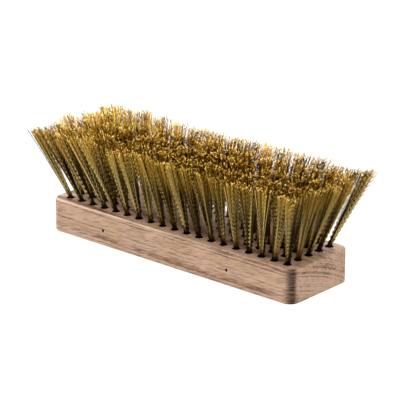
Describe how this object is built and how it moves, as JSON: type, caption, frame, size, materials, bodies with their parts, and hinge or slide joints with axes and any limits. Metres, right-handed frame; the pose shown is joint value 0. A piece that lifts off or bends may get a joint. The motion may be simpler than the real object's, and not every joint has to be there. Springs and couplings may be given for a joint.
{
  "type": "wire block brush",
  "caption": "Beech block brush with crimped brass wire tufts, set in drilled holes and fanned outwards at the ends and sides.",
  "frame": {"origin": "centre of the block's flat back, which is the underside", "axes": "+X along the block, +Y across it, +Z out of the drilled face, the way the tufts stand"},
  "size_m": [0.2294, 0.075, 0.071],
  "materials": {
    "beech": "sanded, unvarnished",
    "brass_wire": "bright drawn wire, crimped",
    "anchor_steel": "flat wire, galvanised"
  },
  "bodies": {
    "root": {"block": "beech", "tufts_column_01": "brass_wire", "tufts_column_02": "brass_wire", "tufts_column_03": "brass_wire", "tufts_column_04": "brass_wire", "tufts_column_05": "brass_wire", "tufts_column_06": "brass_wire", "tufts_column_07": "brass_wire", "tufts_column_08": "brass_wire", "tufts_column_09": "brass_wire", "tufts_column_10": "brass_wire", "tufts_column_11": "brass_wire", "tufts_column_12": "brass_wire", "tufts_column_13": "brass_wire", "tufts_column_14": "brass_wire", "tufts_column_15": "brass_wire", "tufts_column_16": "brass_wire", "tufts_column_17": "brass_wire", "tufts_column_18": "brass_wire", "tufts_column_19": "brass_wire", "anchors_column_01": "anchor_steel", "anchors_column_02": "anchor_steel", "anchors_column_03": "anchor_steel", "anchors_column_04": "anchor_steel", "anchors_column_05": "anchor_steel", "anchors_column_06": "anchor_steel", "anchors_column_07": "anchor_steel", "anchors_column_08": "anchor_steel", "anchors_column_09": "anchor_steel", "anchors_column_10": "anchor_steel", "anchors_column_11": "anchor_steel", "anchors_column_12": "anchor_steel", "anchors_column_13": "anchor_steel", "anchors_column_14": "anchor_steel", "anchors_column_15": "anchor_steel", "anchors_column_16": "anchor_steel", "anchors_column_17": "anchor_steel", "anchors_column_18": "anchor_steel", "anchors_column_19": "anchor_steel"}
  },
  "joints": []
}
